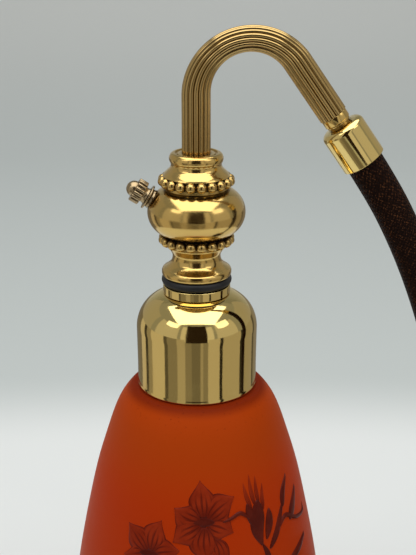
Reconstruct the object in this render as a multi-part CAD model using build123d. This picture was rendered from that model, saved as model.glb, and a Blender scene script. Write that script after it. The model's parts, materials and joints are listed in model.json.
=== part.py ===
from build123d import *
import math
import os

os.makedirs("parts", exist_ok=True)

# Perfume atomiser: a glass bottle with a brass collar, a brass spray head that screws into it,
# and a hose with a squeeze bulb. Millimetres. The origin is the centre of the bottle's flat base,
# +Z is up along the bottle's axis, and the swan neck bends over towards +X.

# ---- Fits ----
RUN = 0.05                # radial clearance of a thread or another running fit
SOLDER = 0.02             # radial gap that solder or cement fills

# ---- Bottle ----
FOOT_R = 19.5
BELLY = [(26.3, 5.5), (30.6, 18.0), (32.0, 36.0), (31.1, 52.0), (29.1, 67.3), (25.0, 87.4),
         (21.7, 98.9), (18.9, 106.7), (15.9, 111.2)]
GLASS_WALL = 2.8
GLASS_BASE = 5.0
SHOULDER_Z = 112.0        # the collar's rim stands on the glass at this height
NECK_R = 8.6
NECK_BORE_R = 6.2
NECK_ROOT_R = 2.0
LIP_Z = 130.5
LIP_ROUND = 1.0

# ---- Collar, bush and seals ----
COLLAR_R = 14.0
COLLAR_WALL = 0.8
DOME_Z = 126.2            # the dome's arc starts here
DOME_ARC_R = 8.5
BUSH_SHANK_R = 7.0
BUSH_FLANGE_R = 7.74
BUSH_BOTTOM_Z = 131.5
BUSH_FLANGE_Z = 134.6
BUSH_TOP_Z = 136.6
CEMENT_Z = (114.2, 125.5)
O_RING_R = 6.95
O_RING_SECTION_R = 1.10

# ---- Screw plug and foot of the head ----
PLUG_R = 5.8
PLUG_BOTTOM_Z = 131.6
FLANGE_Z = 138.9
FLANGE_R = 7.97
SPIGOT_R = 4.0
SPIGOT_TOP_Z = 145.0
SLEEVE_R = 2.4
FOOT_TOP_Z = 146.4
FOOT_TOP_R = 6.6
WAIST_R = 5.6
WAIST_Z = 143.1

# ---- Beaded rings, body and top collar ----
BEADS = 20
BEAD_R = 1.05
BEAD_RING_R = 7.65
BAND_R = 7.3
BAND_HEIGHT = 2.0
BORE_R = 4.6              # bore of the rings and of the body's two ends
BODY_ARC_R = 5.5
BODY_ARC_CENTRE = (5.6, 153.8)
BODY_WALL = 1.0
BODY_END_R = 6.65
UPPER_RING_Z = 160.0
TOP_COLLAR_Z = 162.0
TOP_COLLAR_TOP_Z = 167.4
LIP_R = 5.97

# ---- Swan neck ----
TUBE_R = 3.2
TUBE_BORE_R = 2.2
TUBE_BOTTOM_Z = 160.3
BEND_Z = 180.35
BEND_R = 12.05
BEND_TURN = 145.0         # degrees
LEG_LENGTH = 14.15
END_RING_LENGTH = 1.8
END_RING_R = 3.0

# ---- Hose joint ----
NIPPLE_R = 1.8
NIPPLE_BORE_R = 1.1
GROOVE_LENGTH = 0.9
FERRULE_LENGTH = 9.85
FERRULE_R = 5.05
HOSE_R = 4.2
HOSE_BORE_R = 1.9
HOSE_GRIP = 6.7           # length of hose inside the ferrule

# The hose's route in the plane Y = 0. It starts inside the ferrule and hangs down to the bulb.
HOSE_ROUTE = [(33.39, 170.88), (41.0, 160.0), (47.9, 147.0), (53.5, 133.3), (57.9, 119.3),
              (61.1, 104.9), (63.1, 90.0), (64.2, 75.5), (64.2, 66.0)]

# ---- Bulb, hanging from the end of the hose ----
BULB_X = HOSE_ROUTE[-1][0]
BULB_Z = 38.0             # height of the bulb's widest place
BULB_RADII = (19.0, 23.8)
BULB_WALL = 2.2
BULB_NECK_R = 5.0
BULB_NECK_BORE_R = 2.45
BULB_NECK_TOP_Z = 64.8
BULB_TAIL_Z = 9.6
COVER_INNER = (19.1, 23.9)
COVER_OUTER = (20.0, 24.6)
COVER_MOUTH_R = 5.3
HOUSING_TOP_Z = 14.15
HOUSING_BOTTOM_Z = 6.0
HOUSING_R = 6.4

# ---- Nozzle: distances along its axis are measured from the centre of the body's section ----
NOZZLE_DIRECTION = Vector(-0.848, 0, 0.530).normalized()
NOZZLE_ORIGIN = Vector(-BODY_ARC_CENTRE[0], 0, BODY_ARC_CENTRE[1])
STUB_R = 1.45
STUB_END = 9.0
STUB_BORE_R = 0.8
BOSS_R = 1.9
BOSS_START = 5.5
WASHER_R = 2.88
WASHER_START = 6.02
WASHER_THICK = 0.4
CAP_START = 6.47
KNURL_START = 7.55
KNURL_END = 9.75
KNURL_R = 2.75
KNURLS = 15
TIP_R = 1.85
JET_R = 0.45              # outer radius of the fine liquid tube


# ---- Helpers ----
def turned(*edges):
    """Revolve a closed outline of (radius, height) edges about the Z axis."""
    return revolve(Plane.XZ * make_face(Curve() + list(edges)), Axis.Z)


def turned_polygon(*points):
    return turned(Polyline(*points, close=True))


def ring(inner_r, outer_r, bottom, top):
    return turned_polygon((inner_r, bottom), (outer_r, bottom), (outer_r, top), (inner_r, top))


def along(origin, direction):
    """Plane that puts a piece turned about Z on another axis."""
    return Plane(origin=origin, x_dir=(0, 1, 0), z_dir=direction)


def arc(centre, radius, start, end):
    """Arc from one angle to another, in degrees, either way round."""
    return CenterArc(centre, radius, start, end - start)


def angle_at(radius_wanted, centre_r, arc_r):
    """Angle at which an arc about centre_r reaches a wanted distance from the axis."""
    return math.degrees(math.acos((radius_wanted - centre_r) / arc_r))


# ---- Bottle ----
def bottle_glass():
    shoulder_r = NECK_R + NECK_ROOT_R
    outer = Spline((FOOT_R, 0), *BELLY, (14.2, 111.85), (12.4, SHOULDER_Z),
                   tangents=[(1, 0.3), (-1, 0)])
    root_centre = (shoulder_r, SHOULDER_Z + NECK_ROOT_R)
    inner = Spline((0, GLASS_BASE), (14.0, GLASS_BASE + 0.4), (22.6, 8.6),
                   *[(r - GLASS_WALL, z) for r, z in BELLY[1:-1]], (11.8, 108.6),
                   (NECK_BORE_R, 113.0), tangents=[(1, 0), (0, 1)])
    return turned(
        Line((0, 0), (FOOT_R, 0)),
        outer,
        Line((12.4, SHOULDER_Z), (shoulder_r, SHOULDER_Z)),
        arc(root_centre, NECK_ROOT_R, 270, 180),
        Line((NECK_R, SHOULDER_Z + NECK_ROOT_R), (NECK_R, LIP_Z - LIP_ROUND)),
        arc((NECK_R - LIP_ROUND, LIP_Z - LIP_ROUND), LIP_ROUND, 0, 90),
        Line((NECK_R - LIP_ROUND, LIP_Z), (NECK_BORE_R + LIP_ROUND, LIP_Z)),
        arc((NECK_BORE_R + LIP_ROUND, LIP_Z - LIP_ROUND), LIP_ROUND, 90, 180),
        Line((NECK_BORE_R, LIP_Z - LIP_ROUND), (NECK_BORE_R, 113.0)),
        inner,
        Line((0, GLASS_BASE), (0, 0)),
    )


def neck_collar():
    """Spun shell: straight skirt, then a dome with a hole for the bush."""
    inner_r = COLLAR_R - COLLAR_WALL
    inner_arc_r = DOME_ARC_R - COLLAR_WALL
    centre_r = COLLAR_R - DOME_ARC_R
    hole_r = BUSH_SHANK_R + SOLDER
    outer_end = angle_at(hole_r, centre_r, DOME_ARC_R)
    inner_end = angle_at(hole_r, centre_r, inner_arc_r)
    outer_arc = arc((centre_r, DOME_Z), DOME_ARC_R, 0, outer_end)
    inner_arc = arc((centre_r, DOME_Z), inner_arc_r, 0, inner_end)
    return turned(
        Polyline((inner_r, DOME_Z), (inner_r, SHOULDER_Z), (COLLAR_R, SHOULDER_Z),
                 (COLLAR_R, DOME_Z)),
        outer_arc,
        Line(outer_arc @ 1, inner_arc @ 1),
        inner_arc,
    )


def collar_cement():
    return ring(NECK_R + SOLDER, COLLAR_R - COLLAR_WALL - SOLDER, *CEMENT_Z)


def thread_bush():
    bore = PLUG_R + RUN
    edge = 0.25
    return turned_polygon(
        (bore, BUSH_BOTTOM_Z), (BUSH_SHANK_R, BUSH_BOTTOM_Z), (BUSH_SHANK_R, BUSH_FLANGE_Z),
        (BUSH_FLANGE_R, BUSH_FLANGE_Z), (BUSH_FLANGE_R, BUSH_TOP_Z - edge),
        (BUSH_FLANGE_R - edge, BUSH_TOP_Z), (bore + edge, BUSH_TOP_Z), (bore, BUSH_TOP_Z - edge))


def lip_gasket():
    return ring(NECK_BORE_R + 0.1, NECK_R - 0.1, LIP_Z, BUSH_BOTTOM_Z)


# ---- Foot of the head ----
def o_ring():
    height = (BUSH_TOP_Z + FLANGE_Z) / 2
    return Pos(0, 0, height) * Torus(O_RING_R, O_RING_SECTION_R)


def screw_plug():
    """Threaded plug, with a spigot that is soldered into the hollow foot."""
    bore = SLEEVE_R + SOLDER
    edge = 0.4
    return turned_polygon(
        (bore, PLUG_BOTTOM_Z), (PLUG_R - edge, PLUG_BOTTOM_Z), (PLUG_R, PLUG_BOTTOM_Z + edge),
        (PLUG_R, FLANGE_Z), (SPIGOT_R, FLANGE_Z), (SPIGOT_R, SPIGOT_TOP_Z), (bore, SPIGOT_TOP_Z))


def head_foot():
    """Flange, then a concave waist that flares out under the lower beaded ring."""
    bore = SPIGOT_R + SOLDER
    rim = 0.35
    waist = Spline((FLANGE_R - rim, 140.25), (6.1, 141.5), (WAIST_R, WAIST_Z), (5.9, 144.7),
                   (FOOT_TOP_R, 145.9), tangents=[(-1, 0.15), (0.8, 1)])
    return turned(
        Line((bore, FLANGE_Z), (FLANGE_R, FLANGE_Z)),
        Line((FLANGE_R, FLANGE_Z), (FLANGE_R, 139.9)),
        arc((FLANGE_R - rim, 139.9), rim, 0, 90),
        waist,
        Polyline((FOOT_TOP_R, 145.9), (FOOT_TOP_R, FOOT_TOP_Z), (bore, FOOT_TOP_Z),
                 (bore, FLANGE_Z)),
    )


def beaded_ring(bottom):
    """Flat band with a row of half-sunk beads round it."""
    band = ring(BORE_R, BAND_R, bottom, bottom + BAND_HEIGHT)
    middle = Pos(0, 0, bottom + BAND_HEIGHT / 2)
    return band + [middle * place * Sphere(BEAD_R) for place in PolarLocations(BEAD_RING_R, BEADS)]


def head_body():
    """Hollow body: a bulging shell round the air chamber, with a hole for the nozzle boss."""
    centre_r, centre_z = BODY_ARC_CENTRE
    body_bottom = FOOT_TOP_Z + BAND_HEIGHT
    inner_arc_r = BODY_ARC_R - BODY_WALL
    outer_angle = angle_at(BODY_END_R, centre_r, BODY_ARC_R)
    inner_angle = angle_at(BORE_R, centre_r, inner_arc_r)
    outer = arc(BODY_ARC_CENTRE, BODY_ARC_R, -outer_angle, outer_angle)
    inner = arc(BODY_ARC_CENTRE, inner_arc_r, -inner_angle, inner_angle)
    shell = turned(
        Polyline(inner @ 0, (BORE_R, body_bottom), (BODY_END_R, body_bottom), outer @ 0),
        outer,
        Polyline(outer @ 1, (BODY_END_R, UPPER_RING_Z), (BORE_R, UPPER_RING_Z), inner @ 1),
        inner,
    )
    return shell - nozzle_plane() * ring(0, STUB_R + SOLDER, 3.0, 7.0)


def top_collar():
    """Collar that the swan neck stands in, with a recess in its top for the small washer."""
    bore = TUBE_R + SOLDER
    spigot_r = BORE_R - SOLDER
    side = Spline((7.0, TOP_COLLAR_Z + 0.4), (6.05, 162.9), (5.74, 163.9), (LIP_R - 0.02, 166.0),
                  tangents=[(-1, 0.1), (0.02, 1)])
    lip_round = 0.45
    return turned(
        Polyline((bore, UPPER_RING_Z), (spigot_r, UPPER_RING_Z), (spigot_r, TOP_COLLAR_Z),
                 (7.0, TOP_COLLAR_Z), (7.0, TOP_COLLAR_Z + 0.4)),
        side,
        Line((LIP_R - 0.02, 166.0), (LIP_R, TOP_COLLAR_TOP_Z - lip_round)),
        arc((LIP_R - lip_round, TOP_COLLAR_TOP_Z - lip_round), lip_round, 0, 90),
        Polyline((LIP_R - lip_round, TOP_COLLAR_TOP_Z), (5.0, TOP_COLLAR_TOP_Z), (5.0, 166.6),
                 (bore, 166.6), (bore, UPPER_RING_Z)),
    )


def neck_washer():
    return ring(TUBE_R + SOLDER, 4.7, 166.6, 167.2)


# ---- Swan neck ----
def neck_path():
    rise = Line((0, TUBE_BOTTOM_Z), (0, BEND_Z))
    bend = JernArc(rise @ 1, rise % 1, BEND_R, -BEND_TURN)
    leg = PolarLine(bend @ 1, LEG_LENGTH, direction=bend % 1)
    return Plane.XZ * Wire([rise.edge(), bend.edge(), leg.edge()])


def tube_along(path, outer_r, inner_r):
    """Sweep a round section, hollow where inner_r is not 0, along a path."""
    section = Circle(outer_r)
    if inner_r:
        section -= Circle(inner_r)
    return sweep(Plane(origin=path @ 0, z_dir=path % 0) * section, path=path)


def swan_neck():
    return tube_along(neck_path(), TUBE_R, TUBE_BORE_R)


def leg_plane():
    """Plane at the swan neck's end. Its z runs on towards the hose."""
    path = neck_path()
    return along(path @ 1, path % 1)


def neck_end_ring():
    bore = NIPPLE_R + SOLDER
    plug_r = TUBE_BORE_R - SOLDER
    return leg_plane() * turned_polygon(
        (bore, -3.0), (plug_r, -3.0), (plug_r, 0), (END_RING_R, 0), (END_RING_R, END_RING_LENGTH),
        (bore, END_RING_LENGTH))


FERRULE_START = END_RING_LENGTH + GROOVE_LENGTH
FERRULE_END = FERRULE_START + FERRULE_LENGTH
HOSE_START = FERRULE_END - HOSE_GRIP


def hose_nipple():
    """Air tube from the swan neck into the hose, with a low shoulder in the groove."""
    return leg_plane() * turned_polygon(
        (NIPPLE_BORE_R, -2.5), (NIPPLE_R, -2.5), (NIPPLE_R, END_RING_LENGTH),
        (2.6, END_RING_LENGTH), (2.6, FERRULE_START), (NIPPLE_R, FERRULE_START),
        (NIPPLE_R, FERRULE_END - 1.0), (NIPPLE_BORE_R, FERRULE_END - 1.0))


def hose_ferrule():
    """Thin cup with a rounded shoulder, open towards the hose."""
    shoulder = 1.3
    bore = HOSE_R + RUN
    hole = NIPPLE_R + SOLDER
    return leg_plane() * turned(
        Line((hole, FERRULE_START), (FERRULE_R - shoulder, FERRULE_START)),
        arc((FERRULE_R - shoulder, FERRULE_START + shoulder), shoulder, 270, 360),
        Polyline((FERRULE_R, FERRULE_START + shoulder), (FERRULE_R, FERRULE_END),
                 (bore, FERRULE_END), (bore, HOSE_START - RUN), (hole, HOSE_START - RUN),
                 (hole, FERRULE_START)),
    )


# ---- Hose ----
def hose_path():
    """Straight runs joined by the largest tangent arcs that they allow."""
    points = [Vector(x, 0, z) for x, z in HOSE_ROUTE]
    runs = [after - before for before, after in zip(points, points[1:])]
    radii = []
    for run_in, run_out in zip(runs, runs[1:]):
        half_turn = math.radians(run_in.get_angle(run_out) / 2)
        radii.append(0.45 * min(run_in.length, run_out.length) / math.tan(half_turn))
    print("hose radii:", [round(radius, 1) for radius in radii])
    return FilletPolyline(*points, radius=radii)


def hose():
    path = hose_path().wire()
    tube = tube_along(path, HOSE_R, HOSE_BORE_R)
    section = math.pi * (HOSE_R ** 2 - HOSE_BORE_R ** 2)
    print("hose length:", round(path.length, 2), "volume ratio:",
          round(tube.volume / (section * path.length), 5))
    return tube


# ---- Bulb ----
def bulb_place(solid):
    return Pos(BULB_X, 0, 0) * solid


def egg_arc(radii, end_r):
    """Side of the egg shape, from its lower mouth of radius end_r up to the same radius."""
    reach = math.degrees(math.acos(end_r / radii[0]))
    return EllipticalCenterArc((0, BULB_Z), *radii, start_angle=-reach, arc_size=2 * reach)


def bulb_ferrule():
    """Bell that hides the joint of hose and bulb."""
    top, bottom = 72.5, 61.8
    bore = HOSE_R + RUN
    neck_bore = BULB_NECK_R + SOLDER
    side = Spline((5.2, 66.5), (5.6, 64.0), (6.9, bottom + 0.7), tangents=[(0, -1), (1, -0.6)])
    return bulb_place(turned(
        Polyline((bore, 66.0), (bore, top), (5.2, top), (5.2, 66.5)),
        side,
        Polyline((6.9, bottom + 0.7), (6.9, bottom), (neck_bore, bottom),
                 (neck_bore, BULB_NECK_TOP_Z), (bore, BULB_NECK_TOP_Z), (bore, 66.0)),
    ))


def bulb_nipple():
    spigot = HOSE_BORE_R - RUN
    tail = BULB_NECK_BORE_R - SOLDER
    return bulb_place(turned_polygon(
        (NIPPLE_BORE_R, 56.0), (tail, 56.0), (tail, BULB_NECK_TOP_Z + 0.05),
        (HOSE_R - 0.1, BULB_NECK_TOP_Z + 0.05), (HOSE_R - 0.1, 65.9), (spigot, 65.9),
        (spigot, 74.0), (NIPPLE_BORE_R, 74.0)))


def bulb():
    """Hollow rubber egg with a neck at its top and a tail at its bottom."""
    outer = egg_arc(BULB_RADII, BULB_NECK_R)
    inner = egg_arc([radius - BULB_WALL for radius in BULB_RADII], BULB_NECK_BORE_R)
    return bulb_place(turned(
        Polyline(inner @ 0, (BULB_NECK_BORE_R, BULB_TAIL_Z), (BULB_NECK_R, BULB_TAIL_Z), outer @ 0),
        outer,
        Polyline(outer @ 1, (BULB_NECK_R, BULB_NECK_TOP_Z), (BULB_NECK_BORE_R, BULB_NECK_TOP_Z),
                 inner @ 1),
        inner,
    ))


def bulb_cover():
    outer = egg_arc(COVER_OUTER, COVER_MOUTH_R)
    inner = egg_arc(COVER_INNER, COVER_MOUTH_R)
    return bulb_place(turned(
        Line(inner @ 0, outer @ 0), outer, Line(outer @ 1, inner @ 1), inner))


def valve_housing():
    """Cap over the bulb's tail, with the air intake in its bottom."""
    bore = BULB_NECK_R + SOLDER
    rim = 0.8
    return bulb_place(turned(
        Polyline((1.0, HOUSING_BOTTOM_Z), (HOUSING_R - rim, HOUSING_BOTTOM_Z)),
        arc((HOUSING_R - rim, HOUSING_BOTTOM_Z + rim), rim, 270, 360),
        Polyline((HOUSING_R, HOUSING_BOTTOM_Z + rim), (HOUSING_R, HOUSING_TOP_Z),
                 (bore, HOUSING_TOP_Z), (bore, 7.0), (1.0, 7.0), (1.0, HOUSING_BOTTOM_Z)),
    ))


def valve_seat():
    return bulb_place(ring(1.2, BULB_NECK_R - SOLDER, 7.0, 7.6))


def valve_disc():
    return bulb_place(ring(0, 2.2, 7.62, 8.02))


def valve_guard():
    """Perforated disc that keeps the loose valve disc on its seat."""
    guard = ring(0, BULB_NECK_R - SOLDER, 8.9, 9.5)
    middle = Pos(0, 0, 9.2)
    return bulb_place(guard - [middle * place * Cylinder(0.8, 4.0) for place in PolarLocations(2.6, 6)])


# ---- Dip tube and nozzle ----
DIP_R = 1.5
DIP_BORE_R = 0.9
DIP_BOTTOM_Z = 8.5
DIP_TOP_Z = 138.5
JET_BOTTOM_Z = 139.0


def tube_sleeve():
    """Soft sleeve in the plug. It holds the dip tube below and the fine liquid tube above."""
    return turned_polygon(
        (DIP_R + RUN, PLUG_BOTTOM_Z), (SLEEVE_R, PLUG_BOTTOM_Z), (SLEEVE_R, 142.0),
        (JET_R + SOLDER, 142.0), (JET_R + SOLDER, 138.8), (DIP_R + RUN, 138.8))


def dip_tube():
    return ring(DIP_BORE_R, DIP_R, DIP_BOTTOM_Z, DIP_TOP_Z)


def nozzle_plane():
    return along(NOZZLE_ORIGIN, NOZZLE_DIRECTION)


def nozzle_point(distance):
    return NOZZLE_ORIGIN + NOZZLE_DIRECTION * distance


def liquid_tube():
    """Fine tube from the sleeve up to the bottle's axis, then out along the nozzle."""
    on_axis = -NOZZLE_ORIGIN.X / NOZZLE_DIRECTION.X
    path = FilletPolyline((0, 0, JET_BOTTOM_Z), nozzle_point(on_axis), nozzle_point(10.5), radius=2.0)
    return tube_along(path.wire(), JET_R, 0.2)


def nozzle_boss():
    """Threaded stub, with a shank through the body's wall."""
    return nozzle_plane() * turned_polygon(
        (STUB_BORE_R, 3.6), (STUB_R, 3.6), (STUB_R, BOSS_START), (BOSS_R, BOSS_START),
        (BOSS_R, 6.0), (STUB_R, 6.0), (STUB_R, STUB_END), (STUB_BORE_R, STUB_END))


def nozzle_washer():
    return nozzle_plane() * ring(STUB_R + RUN, WASHER_R, WASHER_START, WASHER_START + WASHER_THICK)


def nozzle_cap():
    """Plain skirt and a reeded grip."""
    bore = STUB_R + RUN
    skirt = ring(bore, BOSS_R, CAP_START, KNURL_START)
    grip = Circle(KNURL_R) - Circle(bore) - PolarLocations(KNURL_R, KNURLS) * Circle(0.3)
    return nozzle_plane() * (skirt + Pos(0, 0, KNURL_START) * extrude(grip, KNURL_END - KNURL_START))


def nozzle_tip():
    """Domed insert with the spray hole."""
    shank = STUB_R + RUN - SOLDER
    dome = arc((0, KNURL_END), TIP_R, 0, 80)
    mouth = dome @ 1
    return nozzle_plane() * turned(
        Polyline((0.6, 9.3), (shank, 9.3), (shank, KNURL_END), (TIP_R, KNURL_END)),
        dome,
        Polyline(mouth, (mouth.X, 11.0), (0.6, 10.8), (0.6, 9.3)),
    )


PIECES = {
    "bottle_glass": bottle_glass, "neck_collar": neck_collar, "collar_cement": collar_cement,
    "thread_bush": thread_bush, "lip_gasket": lip_gasket, "o_ring": o_ring,
    "screw_plug": screw_plug, "head_foot": head_foot,
    "lower_beaded_ring": lambda: beaded_ring(FOOT_TOP_Z), "head_body": head_body,
    "upper_beaded_ring": lambda: beaded_ring(UPPER_RING_Z), "top_collar": top_collar,
    "neck_washer": neck_washer, "swan_neck": swan_neck, "neck_end_ring": neck_end_ring,
    "hose_nipple": hose_nipple, "hose_ferrule": hose_ferrule, "hose": hose,
    "bulb_ferrule": bulb_ferrule, "bulb_nipple": bulb_nipple, "bulb": bulb,
    "bulb_cover": bulb_cover, "valve_housing": valve_housing, "valve_seat": valve_seat,
    "valve_disc": valve_disc, "valve_guard": valve_guard, "tube_sleeve": tube_sleeve,
    "dip_tube": dip_tube, "liquid_tube": liquid_tube, "nozzle_boss": nozzle_boss,
    "nozzle_washer": nozzle_washer, "nozzle_cap": nozzle_cap, "nozzle_tip": nozzle_tip,
}

for name, make in PIECES.items():
    export_step(make(), f"parts/{name}.step")
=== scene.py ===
import json
import math

import bmesh
import bpy
from bpy.props import FloatProperty, FloatVectorProperty, IntProperty, PointerProperty
from mathutils import Matrix, Vector, geometry, noise


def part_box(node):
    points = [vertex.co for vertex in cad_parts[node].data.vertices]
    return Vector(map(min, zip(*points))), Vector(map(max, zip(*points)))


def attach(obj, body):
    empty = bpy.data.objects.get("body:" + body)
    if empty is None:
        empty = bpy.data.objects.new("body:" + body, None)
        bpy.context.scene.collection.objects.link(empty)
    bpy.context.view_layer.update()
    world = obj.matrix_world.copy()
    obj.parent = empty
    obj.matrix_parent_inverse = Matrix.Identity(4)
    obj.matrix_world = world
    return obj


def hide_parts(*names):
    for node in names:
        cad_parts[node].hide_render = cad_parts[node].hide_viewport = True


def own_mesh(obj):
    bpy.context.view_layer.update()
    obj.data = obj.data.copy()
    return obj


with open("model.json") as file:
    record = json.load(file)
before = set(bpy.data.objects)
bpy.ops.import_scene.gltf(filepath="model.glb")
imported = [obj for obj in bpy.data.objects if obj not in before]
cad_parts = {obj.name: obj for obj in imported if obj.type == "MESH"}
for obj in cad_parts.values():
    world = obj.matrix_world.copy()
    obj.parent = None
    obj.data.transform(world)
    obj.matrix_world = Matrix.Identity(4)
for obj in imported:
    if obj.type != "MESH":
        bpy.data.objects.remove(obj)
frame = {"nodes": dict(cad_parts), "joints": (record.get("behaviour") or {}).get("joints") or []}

bl_info = {
    "name": "Perfume Atomiser",
    "version": (1, 0, 0),
    "blender": (4, 5, 0),
    "location": "View3D > Sidebar > Atomiser",
    "description": "Builds the visible pieces of a glass perfume atomiser round its CAD frame",
    "category": "Add Mesh",
}

MM = 0.001
UP = Vector((0, 0, 1))
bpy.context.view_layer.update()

# The hose's route in metres: out of the ferrule, then hanging down to the bulb.
HOSE_ROUTE = [
    Vector((0.03339, 0, 0.17088)), Vector((0.0410, 0, 0.1600)), Vector((0.0479, 0, 0.1470)),
    Vector((0.0535, 0, 0.1333)), Vector((0.0579, 0, 0.1193)), Vector((0.0611, 0, 0.1049)),
    Vector((0.0631, 0, 0.0900)), Vector((0.0642, 0, 0.0755)), Vector((0.0642, 0, 0.0660)),
]

# The hose's other sizes, in mm
HOSE_R = 4.2
HOSE_FROM_LEG = 5.85      # from the swan neck's end to the hose's end

# The swan neck's bend, in mm and degrees
BEND_R = 12.05
BEND_TURN = 145.0
LEG_LENGTH = 14.15

# The camera: metres, degrees below level, and mm on a sensor of this width
CAMERA_PLACE = (0.0026, -0.2494, 0.2262)
CAMERA_PITCH = 19.5
CAMERA_LENS = 74.6
CAMERA_SENSOR = 36.0

MERGE_GAP = 1e-4          # points of a mesh nearer than this are one, mm
SHARP = 38                # an edge that turns by more shows as sharp, degrees
BOTTLE_STEPS = 16         # the bottle has this many more facets than a small piece
COLLAR_STEPS = 32         # and the shiny collar this many


# ---------------------------------------------------------------- places from the frame
def span(node):
    """Radius, bottom and top, in mm, of a CAD node that is turned about an upright axis."""
    low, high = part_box(node)
    return (high[1] - low[1]) / 2 / MM, low[2] / MM, high[2] / MM


def axis_place(origin, direction):
    """Matrix that stands a piece turned about Z on another axis."""
    turn = Vector(direction).to_track_quat("Z", "Y").to_matrix().to_4x4()
    return Matrix.Translation(origin) @ turn


def joint(name):
    return next(item for item in frame["joints"] if item["name"] == name)


LEG_DIRECTION = (HOSE_ROUTE[1] - HOSE_ROUTE[0]).normalized()
LEG_END = HOSE_ROUTE[0] - LEG_DIRECTION * HOSE_FROM_LEG * MM
LEG_PLACE = axis_place(LEG_END, LEG_DIRECTION)
BULB_PLACE = Matrix.Translation((HOSE_ROUTE[-1].x, 0, 0))
NOZZLE = joint("nozzle_turn")
NOZZLE_PLACE = axis_place(NOZZLE["pos_m"], NOZZLE["axis"])


# ---------------------------------------------------------------- outlines
def arc(centre_r, centre_z, radius, start, end, count=12):
    """Outline points on an arc, from one angle to another in degrees."""
    angles = [math.radians(start + (end - start) * i / count) for i in range(count + 1)]
    return [(centre_r + radius * math.cos(a), centre_z + radius * math.sin(a), 0) for a in angles]


def flowing(points, count=8):
    """Outline points on a smooth line through a few points."""
    knots = [Vector(point) for point in points]
    knots = [knots[0] * 2 - knots[1]] + knots + [knots[-1] * 2 - knots[-2]]
    line = []
    for before, start, end, after in zip(knots, knots[1:], knots[2:], knots[3:]):
        leave = start + (end - before) / 6
        arrive = end - (after - start) / 6
        line += geometry.interpolate_bezier(start, leave, arrive, end, count + 1)[:-1]
    return [(point.x, point.y, 0) for point in line + [knots[-2]]]


def box_outline(inner, outer, bottom, top, edge):
    return [(inner, bottom, 0), (outer, bottom, edge), (outer, top, edge), (inner, top, 0)]


# ---------------------------------------------------------------- meshes
def turned(outline, steps):
    """A bmesh of a closed outline of (radius, height, rounding) in mm, turned about Z."""
    bm = bmesh.new()
    corners = [bm.verts.new((radius, 0, height)) for radius, height, _ in outline]
    for start, end in zip(corners, corners[1:] + corners[:1]):
        if start.co.x > 0 or end.co.x > 0:
            bm.edges.new((start, end))
    for corner, (_, _, rounding) in zip(corners, outline):
        if rounding:
            bmesh.ops.bevel(
                bm, geom=[corner], offset=rounding, offset_type="OFFSET",
                segments=4 if rounding < 1 else 10, profile=0.5, affect="VERTICES", material=-1)
    bmesh.ops.spin(
        bm, geom=bm.verts[:] + bm.edges[:], cent=(0, 0, 0), axis=UP, dvec=(0, 0, 0),
        angle=math.tau, steps=steps, use_merge=True, use_duplicate=False)
    bmesh.ops.remove_doubles(bm, verts=bm.verts, dist=MERGE_GAP)
    bmesh.ops.dissolve_degenerate(bm, edges=bm.edges, dist=MERGE_GAP / 10)
    bmesh.ops.recalc_face_normals(bm, faces=bm.faces)
    return bm


def add_bm(bm, other):
    """Join another bmesh into bm."""
    mesh = bpy.data.meshes.new("joined")
    other.to_mesh(mesh)
    other.free()
    bm.from_mesh(mesh)
    bpy.data.meshes.remove(mesh)


def wrap_uv(bm):
    """UV map round the Z axis: u is turns, v is height in mm."""
    layer = bm.loops.layers.uv.new("UVMap")
    for face in bm.faces:
        around = [math.atan2(loop.vert.co.y, loop.vert.co.x) / math.tau for loop in face.loops]
        for loop, turn in zip(face.loops, around):
            if max(around) - turn > 0.5:
                turn += 1
            loop[layer].uv = (turn, loop.vert.co.z)


def piece(bm, name, body, nodes, material, place=Matrix(), sharp=SHARP, weighted=True):
    """Turn a bmesh in mm into a piece of the model: placed, smoothed, painted and riding."""
    bmesh.ops.transform(bm, matrix=place @ Matrix.Scale(MM, 4), verts=bm.verts)
    mesh = bpy.data.meshes.new(name)
    bm.to_mesh(mesh)
    bm.free()
    mesh.shade_smooth()
    mesh.set_sharp_from_angle(angle=math.radians(sharp))
    mesh.materials.append(material)
    obj = bpy.data.objects.new(name, mesh)
    bpy.context.scene.collection.objects.link(obj)
    if weighted:
        normals = obj.modifiers.new("even normals", "WEIGHTED_NORMAL")
        normals.keep_sharp = True
    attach(obj, body)
    if nodes:
        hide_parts(*nodes)
    return obj


def turned_piece(outline, steps, name, body, node, slot, place=Matrix(), sharp=SHARP):
    """A turned piece that stands for a CAD node, in the finish of its slot."""
    return piece(turned(outline, steps), name, body, [node], finish(slot), place, sharp)


def paint_node(node, material):
    """Give a CAD node that stays its own finish."""
    obj = frame["nodes"][node]
    obj.data.materials.clear()
    obj.data.materials.append(material)


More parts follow.
